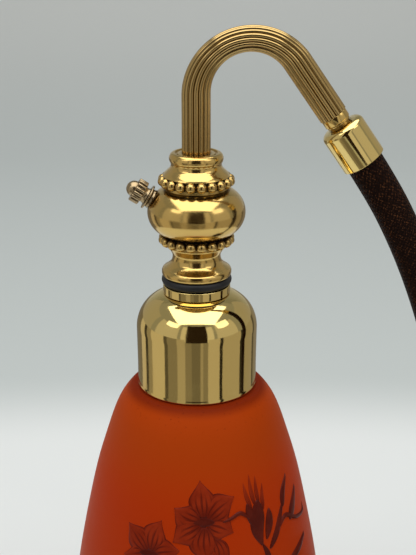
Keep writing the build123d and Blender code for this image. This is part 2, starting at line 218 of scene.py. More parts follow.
# ---------------------------------------------------------------- materials
class Value:
    """A socket in a material, used in ordinary Python sums."""

    def __init__(self, paint, socket):
        self.paint = paint
        self.socket = socket

    def math(self, operation, first, second=0.0):
        return self.paint.node("ShaderNodeMath", {"operation": operation}, {0: first, 1: second})

    def __add__(self, other):
        return self.math("ADD", self, other)

    def __sub__(self, other):
        return self.math("SUBTRACT", self, other)

    def __rsub__(self, other):
        return self.math("SUBTRACT", other, self)

    def __mul__(self, other):
        return self.math("MULTIPLY", self, other)

    def __pow__(self, other):
        return self.math("POWER", self, other)

    def __gt__(self, other):
        return self.math("GREATER_THAN", self, other)

    def __abs__(self):
        return self.math("ABSOLUTE", self)

    __radd__ = __add__
    __rmul__ = __mul__

    def wave(self):
        """A sine of this value, from 0 to 1."""
        return self.sine() * 0.5 + 0.5

    def sine(self):
        return self.math("SINE", self)

    def part(self):
        """The fraction of this value."""
        return self.math("FRACT", self)

    def step(self, start, end):
        """Smooth rise from 0 at start to 1 at end."""
        settings = {"interpolation_type": "SMOOTHSTEP"}
        inputs = {"Value": self, "From Min": start, "From Max": end}
        return self.paint.node("ShaderNodeMapRange", settings, inputs)

    def most(self, other):
        return self.math("MAXIMUM", self, other)

    def least(self, other):
        return self.math("MINIMUM", self, other)


class Paint:
    """A node material. Constants are set on the shader's own sockets."""

    def __init__(self, name, constants=None):
        self.material = bpy.data.materials.new(name)
        self.material.use_nodes = True
        self.tree = self.material.node_tree
        self.shader = self.tree.nodes["Principled BSDF"]
        for socket, value in (constants or {}).items():
            self.shader.inputs[socket].default_value = value

    def node(self, kind, settings, inputs, output=0):
        """Any node: its settings first, then its inputs, as values or links."""
        made = self.tree.nodes.new(kind)
        for key, value in settings.items():
            setattr(made, key, value)
        for key, value in inputs.items():
            if isinstance(value, Value):
                self.tree.links.new(value.socket, made.inputs[key])
            else:
                made.inputs[key].default_value = value
        return Value(self, made.outputs[output])

    def place(self, scale=(1, 1, 1)):
        """Object coordinates in metres, scaled."""
        here = self.node("ShaderNodeTexCoord", {}, {}, "Object")
        return self.node("ShaderNodeMapping", {}, {"Vector": here, "Scale": scale})

    def axes(self, vector):
        split = self.tree.nodes.new("ShaderNodeSeparateXYZ")
        self.tree.links.new(vector.socket, split.inputs[0])
        return [Value(self, socket) for socket in split.outputs]

    def uv(self):
        return self.node("ShaderNodeTexCoord", {}, {}, "UV")

    def clouds(self, scale, detail=3.0, roughness=0.5, vector=None):
        """Noise over the object, from about 0.2 to 0.8."""
        vector = vector or self.place()
        inputs = {"Vector": vector, "Scale": scale, "Detail": detail, "Roughness": roughness}
        return self.node("ShaderNodeTexNoise", {}, inputs)

    def crevices(self, distance):
        """1 in hollows and 0 on open surfaces."""
        settings = {"samples": 6}
        return 1 - self.node("ShaderNodeAmbientOcclusion", settings, {"Distance": distance}, "AO")

    def mix(self, amount, first, second):
        """Blend of two colours."""
        settings = {"data_type": "RGBA"}
        return self.node("ShaderNodeMix", settings, {0: amount, 6: first, 7: second}, 2)

    def bump(self, height, distance, strength=1.0):
        inputs = {"Height": height, "Distance": distance, "Strength": strength}
        return self.node("ShaderNodeBump", {}, inputs)

    def link(self, **sockets):
        """Join what varies over the surface to the shader, and return the finished material."""
        for name, value in sockets.items():
            self.tree.links.new(value.socket, self.shader.inputs[name.replace("_", " ").title()])
        return self.material


def tone(red, green, blue):
    return (red, green, blue, 1.0)


def brass(name, colour, roughness, dirt_and_shade_reach, dirt_and_shade_amount, brushed=0.0):
    """Polished brass, dark in its hollows with grime and painted shade, with fine wear on its open
    faces.
    """
    paint = Paint(name, {"Metallic": 1.0})
    # painted shade and grime: ambient occlusion darkens the hollows to near black and roughens them
    hollow_dirt_and_shade = paint.crevices(dirt_and_shade_reach).step(0.16, 0.75) * dirt_and_shade_amount
    film = paint.clouds(260.0, 4.0, 0.6).step(0.42, 0.75)
    patch = paint.clouds(70.0, 3.0, 0.55).step(0.45, 0.7)
    dirt_and_shade = hollow_dirt_and_shade * (film * 0.5 + 0.65)
    clean = paint.mix(patch * 0.35, colour, [c * s for c, s in zip(colour, (0.86, 0.8, 0.7, 1))])
    # the hollows' painted shade and grime laid over the clean brass
    colour_out = paint.mix(dirt_and_shade.least(1.0), clean, tone(0.045, 0.022, 0.008))
    rub = paint.clouds(900.0, 2.0, 0.5, paint.place((1, 1, 0.15)))
    shine = roughness + film * 0.05 + patch * 0.04 + dirt_and_shade * 0.4 + rub * brushed
    scratches = rub * 0.6 + paint.clouds(2600.0, 2.0) * 0.4
    marks = paint.bump(scratches, 0.00001 + 0.00003 * brushed, 0.5)
    return paint.link(base_color=colour_out, roughness=shine, normal=marks)


def satin_glass(colours):
    """Acid-etched orange glass: soft, deep in the middle, with painted light brightening it towards
    the shoulder and a painted shadow under the collar.
    """
    paint = Paint("satin_glass", {
        "IOR": 1.5, "Specular IOR Level": 0.04, "Sheen Weight": 0.11, "Sheen Roughness": 0.35,
        "Sheen Tint": tone(1.0, 0.62, 0.45)})
    _, _, z = paint.axes(paint.place())
    # painted light: brighter orange by the shoulder, where light falls from above
    high = z.step(0.088, 0.106)
    shadow = z.step(0.1095, 0.1120)
    low = z.step(0.092, 0.060)
    cloud = paint.clouds(34.0, 2.0, 0.4).step(0.35, 0.7)
    body = paint.mix(low * 0.8, colours.glass, colours.glass_deep)
    body = paint.mix(cloud * 0.3, body, colours.glass_warm)
    body = paint.mix(high * 0.8, body, colours.glass_shoulder_light)
    body = paint.mix(shadow * 0.85, body, tone(0.15, 0.010, 0.0006))
    speck = paint.clouds(1500.0, 2.0, 0.6).step(0.62, 0.75) * z.step(0.104, 0.111)
    body = paint.mix(speck * 0.5, body, colours.petal_line)
    etched = paint.bump(paint.clouds(3800.0, 3.0, 0.7), 0.00002, 0.6)
    frost = 0.47 + paint.clouds(600.0, 3.0, 0.6) * 0.14
    return paint.link(base_color=body, roughness=frost, normal=etched)


def cameo_petal(colours):
    """Thin red layer over the orange: dark outline, dark heart and brushed veins."""
    paint = Paint("cameo_petal", {"IOR": 1.5, "Specular IOR Level": 0.08})
    along, across, _ = paint.axes(paint.uv())
    side = abs(across * 2 - 1)
    edge = side.step(0.72, 0.96).most(along.step(0.93, 0.99))
    heart = along.step(0.42, 0.02)
    vein = side.step(0.10, 0.0) * along.step(0.9, 0.5) * 0.8
    strokes = (across * 34 + paint.clouds(160.0, 2.0) * 5).wave().step(0.62, 0.9)
    strokes = strokes * along.step(0.72, 0.25)
    wash = paint.clouds(220.0, 3.0, 0.6).step(0.35, 0.7)
    dark = (edge * 0.95).most(heart * 0.75).most(vein).most(strokes * 0.85)
    ground = paint.mix(wash * 0.6, colours.petal, colours.petal_light)
    return paint.link(
        base_color=paint.mix(dark, ground, colours.petal_line),
        roughness=0.36 + wash * 0.14,
        normal=paint.bump(paint.clouds(2600.0, 2.0), 0.00002, 0.5))


def cameo_dark(colours):
    """The thicker dark red layer of stems, buds and leaves."""
    paint = Paint("cameo_dark", {"IOR": 1.5, "Specular IOR Level": 0.12})
    wash = paint.clouds(200.0, 3.0, 0.6).step(0.35, 0.75)
    return paint.link(
        base_color=paint.mix(wash * 0.7, colours.stem, colours.stem_light),
        roughness=0.34 + wash * 0.14,
        normal=paint.bump(paint.clouds(2400.0, 2.0), 0.00002, 0.5))


def rubber(name, colour, roughness):
    paint = Paint(name, {"IOR": 1.5, "Specular IOR Level": 0.3})
    dust = paint.clouds(420.0, 4.0, 0.65).step(0.45, 0.8)
    dusty = tone(*(min(1, c * 2.2 + 0.01) for c in colour[:3]))
    return paint.link(
        base_color=paint.mix(dust * 0.25, colour, dusty),
        roughness=roughness + dust * 0.15,
        normal=paint.bump(paint.clouds(1500.0, 3.0), 0.00002, 0.5))


def braid(colours, turns, pitch):
    """Plaited threads: two sets of slanted yarns that cross over and under each other, with a painted
    glint on the yarns' crests.
    """
    paint = Paint("braid", {"IOR": 1.5, "Specular IOR Level": 0.06})
    around, along, _ = paint.axes(paint.uv())
    right = around * turns + along * pitch
    left = around * turns - along * pitch
    swap = abs(((right * 0.5).part() > 0.5) - ((left * 0.5).part() > 0.5))
    yarn_right, yarn_left = ((way.part() * math.pi).sine() for way in (right, left))
    height = yarn_right * swap + yarn_left * (1 - swap)
    fuzz = paint.clouds(1600.0, 3.0, 0.7)
    gap = height.step(0.75, 0.2)
    # painted glint: paler colour on the yarns' crests, as where they catch the light
    glint = height.step(0.72, 1.0) * fuzz.step(0.48, 0.62)
    ground = paint.mix(glint * 0.75, colours.braid, colours.braid_glint_and_fuzz)
    return paint.link(
        base_color=paint.mix(gap * 0.85, ground, tone(0.004, 0.002, 0.0015)),
        roughness=0.42 + gap * 0.3 + fuzz * 0.12,
        normal=paint.bump(height + fuzz * 0.25, 0.00012, 0.9))


def knit(colours, columns, rows):
    """Knitted cover: columns of small slanted stitches."""
    paint = Paint("knit", {"IOR": 1.5, "Specular IOR Level": 0.1, "Sheen Weight": 0.06,
                           "Sheen Roughness": 0.45})
    around, up, _ = paint.axes(paint.uv())
    column = (around * columns).part() - 0.5
    stitch = (up * rows + abs(column) * 1.3).part()
    loop = (stitch * math.pi).sine()
    leg = 1 - abs(abs(column) * 4 - 1)
    height = loop * leg.most(0.0)
    fuzz = paint.clouds(1400.0, 3.0, 0.7)
    ground = paint.mix(fuzz.step(0.4, 0.75) * 0.4, colours.braid, colours.braid_glint_and_fuzz)
    return paint.link(
        base_color=paint.mix(height.step(0.5, 0.05) * 0.85, ground, tone(0.006, 0.003, 0.002)),
        roughness=0.6 + fuzz * 0.2,
        normal=paint.bump(height + fuzz * 0.2, 0.0005, 0.9))


def clear_glass():
    paint = Paint("clear_glass", {"Transmission Weight": 0.9, "IOR": 1.5, "Roughness": 0.05})
    haze = paint.clouds(500.0, 3.0)
    return paint.link(
        base_color=paint.mix(haze, tone(0.92, 0.95, 0.93), tone(0.8, 0.85, 0.82)),
        roughness=0.04 + haze * 0.08)


def cement():
    paint = Paint("cement")
    grain = paint.clouds(900.0, 5.0, 0.7)
    return paint.link(
        base_color=paint.mix(grain, tone(0.42, 0.38, 0.31), tone(0.72, 0.68, 0.6)),
        roughness=0.75 + grain * 0.2,
        normal=paint.bump(grain, 0.00015, 0.8))


FINISHES = {}


def finish(name):
    """The named material, made the first time that it is asked for."""
    if name not in FINISHES:
        colours = bpy.context.scene.atomiser_colours
        makers = {
            "polished_brass": lambda: brass(name, colours.brass, 0.065, 0.0012, 0.55),
            "cast_brass": lambda: brass(name, colours.brass_warm, 0.11, 0.0016, 1.1, 0.07),
            "reeded_brass": lambda: brass(name, colours.brass_dull, 0.13, 0.0006, 0.8, 0.03),
            "beaded_brass": lambda: brass(name, colours.brass_bead, 0.14, 0.0022, 1.5, 0.05),
            "bronze": lambda: brass(name, colours.bronze, 0.17, 0.0007, 1.6, 0.06),
            "satin_glass": lambda: satin_glass(colours),
            "cameo_petal": lambda: cameo_petal(colours),
            "cameo_dark": lambda: cameo_dark(colours),
            "black_rubber": lambda: rubber(name, tone(0.012, 0.012, 0.013), 0.42),
            "bulb_rubber": lambda: rubber(name, tone(0.05, 0.02, 0.012), 0.6),
            "braid": lambda: braid(colours, 28, 8.0),
            "knit": lambda: knit(colours, 60, 0.8),
            "clear_glass": clear_glass,
            "cement": cement,
        }
        FINISHES[name] = makers[name]()
    return FINISHES[name]


# ---------------------------------------------------------------- properties
def tint(name, description, red, green, blue):
    """A colour that a user can change."""
    return FloatVectorProperty(
        name=name, description=description, subtype="COLOR", size=4, default=(red, green, blue, 1))


class AtomiserSizes(bpy.types.PropertyGroup):
    steps: IntProperty(
        name="Turning Steps", description="Facets round a turned piece", default=112, min=24)
    beads: IntProperty(
        name="Beads", description="Beads round each beaded ring", default=20, min=8)
    bead_radius: FloatProperty(
        name="Bead Radius", description="Radius of one bead, in millimetres", default=1.17, min=0.2)
    reeds: IntProperty(
        name="Reeds", description="Raised reeds round the swan neck", default=16, min=6)
    reed_depth: FloatProperty(
        name="Reed Depth", description="Depth between two reeds, in millimetres", default=0.46)
    knurls: IntProperty(
        name="Knurls", description="Ribs round the nozzle's cap", default=15, min=6)
    relief: FloatProperty(
        name="Relief", description="Height of the cameo layer, in millimetres", default=0.22)
    thread_pitch: FloatProperty(
        name="Thread Pitch", description="Rise of the plug's thread per turn, in millimetres",
        default=1.25)


class AtomiserColours(bpy.types.PropertyGroup):
    glass: tint("Glass", "Orange of the bottle", 0.42, 0.03, 0.0002)
    glass_deep: tint("Deep Glass", "Redder orange low on the bottle", 0.395, 0.03, 0.0002)
    glass_warm: tint("Warm Glass", "Yellower clouds in the glass", 0.43, 0.037, 0.0002)
    # painted light: the brighter orange that the shoulder shows where light falls on it
    glass_shoulder_light: tint("Glass Shoulder Light", "Brighter orange by the shoulder", 0.4, 0.047, 0.001)
    petal: tint("Petal", "Red of the petals", 0.215, 0.014, 0.0006)
    petal_light: tint("Thin Petal", "Petal where the layer is thin", 0.32, 0.025, 0.0008)
    petal_line: tint("Petal Line", "Outlines and veins", 0.075, 0.0035, 0.0005)
    stem: tint("Stem", "Stems, buds and leaves", 0.075, 0.0045, 0.0008)
    stem_light: tint("Thin Stem", "Stems where the layer is thin", 0.13, 0.009, 0.0008)
    brass: tint("Polished Brass", "Collar and ferrules", 0.8, 0.605, 0.225)
    brass_warm: tint("Cast Brass", "Head and nozzle", 0.66, 0.45, 0.148)
    brass_dull: tint("Dull Brass", "Reeded tube", 0.5, 0.34, 0.13)
    brass_bead: tint("Beaded Brass", "Beaded rings", 0.56, 0.375, 0.125)
    bronze: tint("Bronze", "Nozzle", 0.4, 0.3, 0.17)
    braid: tint("Braid", "Yarn of the hose and the bulb's cover", 0.01, 0.0026, 0.0009)
    # painted glint on the hose's yarn crests; paler fuzz at random on the bulb's knit
    braid_glint_and_fuzz: tint("Braid Glint and Fuzz", "Yarn where it catches the light", 0.12, 0.042, 0.013)


# ---------------------------------------------------------------- camera and hose
class ATOMISER_OT_camera(bpy.types.Operator):
    """Set the camera in front of the atomiser, looking slightly down on it"""
    bl_idname = "atomiser.camera"
    bl_label = "Camera"

    def execute(self, context):
        data = bpy.data.cameras.new("camera")
        data.sensor_width = CAMERA_SENSOR
        data.lens = CAMERA_LENS
        data.clip_start = 0.01
        camera = bpy.data.objects.new("camera", data)
        context.scene.collection.objects.link(camera)
        camera.location = CAMERA_PLACE
        camera.rotation_euler = (math.radians(90 - CAMERA_PITCH), 0, 0)
        context.scene.camera = camera
        return {"FINISHED"}


def route_curve(name):
    """The hose's smooth line, as a curve with the route's points as its control points."""
    curve = bpy.data.curves.new(name, "CURVE")
    curve.dimensions = "3D"
    curve.resolution_u = 24
    spline = curve.splines.new("NURBS")
    spline.points.add(len(HOSE_ROUTE) - 1)
    for point, place in zip(spline.points, HOSE_ROUTE):
        point.co = (*place, 1)
    spline.order_u = 3
    spline.use_endpoint_u = True
    return curve


class ATOMISER_OT_hose(bpy.types.Operator):
    """Hang the braided hose from its ferrule"""
    bl_idname = "atomiser.hose"
    bl_label = "Hose"

    def execute(self, context):
        curve = route_curve("hose_line")
        line = bpy.data.objects.new("hose_line", curve)
        context.scene.collection.objects.link(line)
        path = [vert.co.copy() for vert in bpy.data.meshes.new_from_object(line).vertices]
        curve.bevel_depth = HOSE_R * MM
        curve.bevel_resolution = 10
        mesh = bpy.data.meshes.new_from_object(line)
        bpy.data.objects.remove(line)
        mesh.name = "braided_hose"
        length = sum((b - a).length for a, b in zip(path, path[1:]))
        layer = mesh.uv_layers.active
        if layer is None:
            raise RuntimeError("the hose has no UV map")
        along_first = self.runs_along_u(mesh, layer, path)
        for loop in layer.data:
            u, v = loop.uv
            share, turn = (u, v) if along_first else (v, u)
            loop.uv = (turn, share * length / (2 * HOSE_R * MM))
        mesh.materials.clear()
        mesh.materials.append(finish("braid"))
        mesh.shade_smooth()
        hose = bpy.data.objects.new("braided_hose", mesh)
        context.scene.collection.objects.link(hose)
        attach(hose, "head")
        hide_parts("hose")
        return {"FINISHED"}

    def runs_along_u(self, mesh, layer, path):
        """True if the first UV axis runs along the hose."""
        start = [loop.index for loop in mesh.loops
                 if (mesh.vertices[loop.vertex_index].co - path[0]).length < 1.05 * HOSE_R * MM]
        us = {round(layer.data[index].uv[0], 3) for index in start}
        return len(us) <= 2


# ---------------------------------------------------------------- bulb
class ATOMISER_OT_bulb(bpy.types.Operator):
    """Make the knitted bulb, its bell and its valve cap"""
    bl_idname = "atomiser.bulb"
    bl_label = "Bulb"

    def execute(self, context):
        steps = context.scene.atomiser_sizes.steps
        self.bell(steps)
        self.skin(steps)
        self.inner(steps)
        self.valve_cap(steps)
        return {"FINISHED"}

    def bell(self, steps):
        radius, bottom, top = span("bulb_ferrule")
        bore = HOSE_R + 0.06
        outline = [
            (5.05, bottom, 0), (radius, bottom, 0.25), (radius, bottom + 0.9, 0.3),
            *flowing([(6.3, bottom + 1.3), (5.5, 64.2), (5.15, 66.4)]),
            (5.15, 67.2, 0.2), (5.4, 67.3, 0.2), (5.4, 68.0, 0.2), (5.0, 68.2, 0.2),
            (4.9, top - 1.1, 0.2), (5.15, top - 0.9, 0.2), (5.15, top, 0.3), (bore, top, 0.1),
            (bore, 66.2, 0), (5.05, 64.9, 0),
        ]
        turned_piece(
            outline, steps, "bulb_bell", "head", "bulb_ferrule", "polished_brass", BULB_PLACE)

    def skin(self, steps):
        radius, bottom, top = span("bulb_cover")
        middle = (bottom + top) / 2
        tall = (top - bottom) / 2
        mouth = 5.3
        reach = math.degrees(math.acos(mouth / radius))
        rise = tall / math.sin(math.radians(reach))
        angles = [math.radians(reach * (i / 22 - 1)) for i in range(45)]
        side = [(radius * math.cos(a), middle + rise * math.sin(a), 0) for a in angles]
        inside = [(max(mouth - 0.3, r - 0.8), middle + (z - middle) * 0.965, 0) for r, z, _ in side]
        bm = turned(side + inside[::-1], steps)
        for vert in bm.verts:
            share = 0.992 + noise.noise(vert.co * 0.12) * 0.0075
            vert.co.x *= share
            vert.co.y *= share
        wrap_uv(bm)
        skin = piece(bm, "bulb_skin", "head", ["bulb_cover"], finish("knit"), BULB_PLACE)
        squeeze(skin, top, bottom)

    def inner(self, steps):
        radius, bottom, top = span("bulb")
        outline = [
            (2.5, bottom, 0), (4.95, bottom, 0.2), (4.95, 17.0, 0.8),
            *flowing([(9.2, 19.2), (15.6, 26.2), (radius - 0.5, 38.0), (15.9, 51.0), (9.5, 58.4)]),
            (4.95, 60.8, 0.8), (4.95, top, 0.2), (2.5, top, 0),
        ]
        inner = turned_piece(
            outline, steps, "bulb_inner", "head", "bulb", "bulb_rubber", BULB_PLACE)
        squeeze(inner, top, bottom)

    def valve_cap(self, steps):
        radius, bottom, top = span("valve_housing")
        outline = [
            (1.0, bottom, 0.15), (4.2, bottom, 0.3), (4.6, bottom + 0.35, 0.2),
            (radius - 0.5, bottom + 0.35, 0.5), (radius - 0.25, bottom + 2.2, 0.2),
            (radius, bottom + 2.4, 0.15), (radius, bottom + 4.2, 0.15),
            (radius - 0.3, bottom + 4.4, 0.2), (radius - 0.5, top - 0.8, 0.2),
            (radius - 0.1, top - 0.6, 0.15), (radius - 0.1, top, 0.25), (5.05, top, 0.1),
            (5.05, 7.05, 0), (1.0, 7.05, 0),
        ]
        turned_piece(
            outline, steps, "valve_cap", "bulb_end", "valve_housing", "polished_brass", BULB_PLACE)


def squeeze(obj, top, bottom):
    """Give a soft piece of the bulb its own mesh. How much of its height it would keep when squeezed
    is worked out but not used.
    """
    low, high = joint("bulb_squeeze")["range_m"]
    keep = 1 - (high - low) / ((top - bottom) * MM)
    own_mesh(obj)


# ---------------------------------------------------------------- bottle
FOOT_R = 19.5
BELLY = [(26.3, 5.5), (30.6, 18.0), (32.0, 36.0), (31.1, 52.0), (29.1, 67.3), (25.0, 87.4),
         (21.7, 98.9), (18.9, 106.7), (15.9, 111.2)]
SHOULDER_Z = 112.0
GLASS_WALL = 2.8
NECK_R = 8.6
NECK_BORE_R = 6.2
ACROSS_R = 26.0            # radius on which the decoration's places across are measured
GLASS_SIDE = flowing([(FOOT_R + 1.2, 0.35), *BELLY, (14.2, 111.85), (12.4, SHOULDER_Z)], 6)


def glass_radius(height):
    """The bottle's outer radius at a height, in mm."""
    for (r0, z0, _), (r1, z1, _) in zip(GLASS_SIDE, GLASS_SIDE[1:]):
        if z0 <= height <= z1:
            return r0 + (r1 - r0) * (height - z0) / (z1 - z0)
    raise ValueError(height)


class ATOMISER_OT_bottle(bpy.types.Operator):
    """Blow the satin glass bottle"""
    bl_idname = "atomiser.bottle"
    bl_label = "Bottle"

    def execute(self, context):
        steps = context.scene.atomiser_sizes.steps + BOTTLE_STEPS
        _, bottom, top = span("bottle_glass")
        inner_side = [(r - GLASS_WALL, z) for r, z in BELLY[-2:0:-1]]
        outline = [
            (0, bottom, 0), (FOOT_R, bottom, 0.6), *GLASS_SIDE,
            (10.4, SHOULDER_Z, 0), (NECK_R, 113.8, 0.6), (NECK_R, top, 0.9),
            (NECK_BORE_R, top, 0.9), (NECK_BORE_R, 113.0, 0.8),
            *flowing([(11.8, 108.6), *inner_side, (22.6, 8.6), (14, 5.4)], 4), (0, 5.0, 0),
        ]
        turned_piece(
            outline, steps, "glass_bottle", "bottle", "bottle_glass", "satin_glass", sharp=60)
        return {"FINISHED"}


# ---------------------------------------------------------------- cameo decoration
class Relief:
    """Leaves, petals and stems laid on the bottle. Places are mm round the belly and mm up."""

    def __init__(self, height):
        self.bm = bmesh.new()
        self.layer = self.bm.loops.layers.uv.new("UVMap")
        self.height = height
        self.layers = 0

    def leaf(self, line, width, swell=0.45, point=1.0, turn=0.0, tall=1.0, columns=14):
        """A leaf along a smooth line of (across, up), widest at swell. turn is its place round
        the bottle, in radians. Its rim sinks into the glass."""
        self.layers += 1
        lift = self.height * tall * (1 + 0.12 * (self.layers % 5))
        spine = [Vector((x, z)) for x, z, _ in flowing(line, columns)]
        grid = bmesh.ops.create_grid(self.bm, x_segments=len(spine) - 1, y_segments=8, size=0.5)
        verts = grid["verts"]
        share = {vert: (vert.co.x + 0.5, vert.co.y * 2) for vert in verts}
        faces = {face for vert in verts for face in vert.link_faces}
        for face in faces:
            for loop in face.loops:
                along, across = share[loop.vert]
                loop[self.layer].uv = (along, across * 0.5 + 0.5)
        for vert, (along, across) in share.items():
            here = along * (len(spine) - 1)
            index = min(int(here), len(spine) - 2)
            start, end = spine[index], spine[index + 1]
            centre = start.lerp(end, here - index)
            side = (end - start).normalized().orthogonal()
            rise = (along / swell) ** 0.75 if along < swell else 1
            fall = ((1 - along) / (1 - swell)) ** point if along > swell else 1
            half = width / 2 * min(math.sin(rise * math.pi / 2), math.sin(fall * math.pi / 2))
            spot = centre + side * half * across
            dome = math.sqrt(max(0.0, 1 - across ** 4)) * min(1, half / 0.25)
            radius = glass_radius(spot.y) + lift * dome - 0.05
            angle = turn + spot.x / ACROSS_R - math.pi / 2
            vert.co = (radius * math.cos(angle), radius * math.sin(angle), spot.y)

    def flower(self, centre, size, turn, lean=0.0, petals=6, open_up=0.92):
        """Pointed petals round a centre, foreshortened by open_up."""
        x, z = centre
        for index in range(petals):
            a = lean + math.tau * index / petals
            reach = size * (1 + 0.14 * math.sin(index * 2.3 + lean))
            tip = (x + reach * math.cos(a), z + reach * math.sin(a) * open_up)
            bend = 0.08 * size * math.sin(index * 1.7)
            middle = (x + 0.55 * reach * math.cos(a) - bend * math.sin(a),
                      z + (0.55 * reach * math.sin(a) + bend * math.cos(a)) * open_up)
            start = (x + 0.1 * reach * math.cos(a), z + 0.1 * reach * math.sin(a) * open_up)
            self.leaf([start, middle, tip], size * 0.78, swell=0.46, point=1.35, turn=turn)

    def finish(self, name, material):
        bmesh.ops.remove_doubles(self.bm, verts=self.bm.verts, dist=MERGE_GAP)
        bmesh.ops.recalc_face_normals(self.bm, faces=self.bm.faces)
        for face in self.bm.faces:
            outward = Vector((*face.calc_center_median().xy, 0))
            if face.normal.dot(outward) < 0:
                face.normal_flip()
        piece(self.bm, name, "bottle", [], material, sharp=80, weighted=False)


# The decoration's flowers, as centre, size and lean of the first petal
FLOWERS = [
    ((1.8, 88.3), 9.0, 1.66), ((-10.6, 80.0), 8.2, 2.37), ((4.6, 74.5), 7.8, 0.6),
    ((-18.5, 63.5), 7.6, 1.2), ((13.5, 58.0), 8.2, 2.0),
]

# Its thick dark leaves, as line, width, place of the widest point, and sharpness of the tip
BUDS = [
    ([(15.9, 91.4), (15.4, 88.0), (15.0, 84.5), (15.8, 80.4)], 4.3, 0.45, 0.9),
    ([(12.8, 91.2), (13.4, 88.2), (14.6, 84.6)], 2.2, 0.5, 0.9),
    ([(18.9, 88.5), (18.5, 85.2), (17.0, 81.5)], 2.4, 0.5, 0.9),
    ([(5.5, 88.0), (8.3, 88.6), (10.9, 89.4), (13.2, 87.6)], 0.9, 0.75, 0.8),
]
BRANCH = [
    ([(17.6, 79.0), (20.3, 82.0), (22.4, 85.6), (24.4, 89.0)], 1.9, 0.35, 1.0),
    ([(23.6, 86.8), (24.9, 90.2), (28.0, 93.6)], 2.0, 0.35, 1.0),
    ([(25.6, 82.8), (27.9, 85.4), (31.2, 89.4)], 2.6, 0.4, 1.0),
    ([(21.0, 82.6), (24.2, 84.6), (28.6, 82.2), (32.8, 81.6), (34.2, 83.6)], 1.1, 0.3, 1.0),
    ([(22.6, 73.6), (27.0, 74.8), (31.5, 77.0)], 1.9, 0.45, 1.0),
]
MAIN_STEM = [(15.8, 81.2), (17.2, 76.5), (17.0, 66.0), (14.0, 46.0), (7.0, 26.0), (3.0, 9.0)]
STEMS = [
    ([(4.6, 72.0), (7.0, 60.0), (9.0, 42.0), (7.0, 26.0)], 1.3, 0.5, 0.8),
    ([(-10.6, 77.0), (-9.5, 60.0), (-6.5, 40.0), (1.5, 24.0), (4.0, 14.0)], 1.4, 0.5, 0.8),
    ([(-18.5, 61.0), (-15.0, 48.0), (-8.0, 36.0)], 1.1, 0.5, 0.8),
    ([(13.5, 55.5), (13.0, 48.0), (11.0, 38.0)], 1.1, 0.5, 0.8),
]

# Its thin red leaves: foot and tip of each petal of the bud, then line and width of each leaf
BUD_PETALS = [
    ((14.0, 89.5), (12.4, 96.0)), ((15.0, 90.0), (14.4, 97.6)),
    ((16.2, 90.0), (16.3, 96.8)), ((17.3, 88.5), (18.2, 94.8)),
]
LEAVES = [
    ([(-6.5, 38.0), (-15.0, 43.5), (-23.5, 39.5)], 6.2),
    ([(12.0, 38.0), (19.0, 46.0), (27.5, 49.0)], 5.8),
    ([(4.0, 20.0), (-6.0, 24.5), (-16.0, 20.5)], 6.4),
    ([(7.6, 27.0), (16.0, 27.5), (24.5, 20.5)], 5.8),
    ([(-9.8, 56.0), (-5.0, 62.5), (-2.5, 69.0)], 4.2),
]


class ATOMISER_OT_cameo(bpy.types.Operator):
    """Lay the flowers, buds and stems on the bottle"""
    bl_idname = "atomiser.cameo"
    bl_label = "Cameo Decoration"

    def execute(self, context):
        relief = context.scene.atomiser_sizes.relief
        petals, dark = Relief(relief), Relief(relief * 1.25)
        for turn in (0.0, math.pi):
            self.spray(petals, dark, turn)
        petals.finish("cameo_petals", finish("cameo_petal"))
        dark.finish("cameo_stems", finish("cameo_dark"))
        return {"FINISHED"}

    def spray(self, petals, dark, turn):
        """Open flowers, a cluster of buds and a branch, on stems that rise from below."""
        for centre, size, lean in FLOWERS:
            petals.flower(centre, size, turn, lean)
            across, up = centre
            heart = [(across - 2.6, up), (across, up + 0.15), (across + 2.6, up)]
            dark.leaf(heart, 2.5, 0.5, 0.8, turn)
        # the tube of the top flower
        petals.leaf([(4.0, 84.5), (5.0, 81.5), (5.0, 77.0)], 5.2, 0.5, 0.6, turn)
        for (x0, z0), (x1, z1) in BUD_PETALS:
            middle = ((x0 + x1) / 2 - 0.3, (z0 + z1) / 2)
            petals.leaf([(x0, z0), middle, (x1, z1)], 1.3, 0.35, 1.0, turn, tall=0.6)
        for line, width, swell, point in BUDS + BRANCH:
            dark.leaf(line, width, swell, point, turn)
        dark.leaf(MAIN_STEM, 1.9, 0.3, 0.8, turn, columns=10)
        for line, width, swell, point in STEMS:
            dark.leaf(line, width, swell, point, turn)
        for line, width in LEAVES:
            petals.leaf(line, width, 0.4, 1.0, turn)


